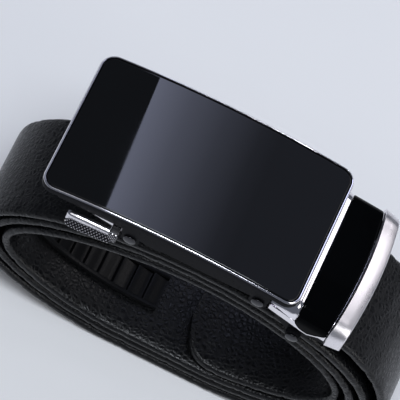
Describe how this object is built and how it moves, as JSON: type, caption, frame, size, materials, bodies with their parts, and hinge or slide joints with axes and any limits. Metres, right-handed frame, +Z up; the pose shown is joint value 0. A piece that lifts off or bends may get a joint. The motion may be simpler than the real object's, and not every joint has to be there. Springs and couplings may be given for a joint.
{
  "type": "ratchet belt",
  "caption": "Black leather ratchet belt rolled into a coil, with a slightly arched glossy black rectangular face, chrome rim, knurled release lever and arched clamp end.",
  "frame": {"origin": "middle of the belt's bounding box, on the surface that the coil lies on", "axes": "+X along the face towards the clamp end, +Y across the strap, +Z up out of the face"},
  "size_m": [0.1294, 0.047, 0.0927],
  "materials": {
    "leather": "semi-gloss black pebbled leather with rolled edges",
    "track_plastic": "satin black moulded plastic",
    "chrome": "polished bright chrome",
    "satin_chrome": "satin chrome",
    "dark_metal": "dark plated casting",
    "black_glass": "glossy black inlay"
  },
  "bodies": {
    "belt": {"strap": "leather", "ratchet_track": "track_plastic", "face_frame": "chrome", "face_glass": "black_glass", "buckle_frame": "dark_metal", "lever_pin": "chrome", "hinge_pin": "chrome", "clamp_pin": "chrome", "clamp_cover": "chrome", "clamp_panel": "black_glass", "clamp_band": "satin_chrome", "clamp_frame": "dark_metal", "clamp_jaw": "dark_metal"},
    "lever": {"release_lever": "satin_chrome"}
  },
  "joints": [
    {"name": "lever_pivot", "type": "hinge", "parent": "belt", "child": "lever", "pos_m": [-0.02193, 0.00058, 0.0769], "axis": [0, -1, 0], "range_deg": [0, 20], "stiffness_Nm_per_rad": 0.05, "springref_deg": -5.73}
  ]
}
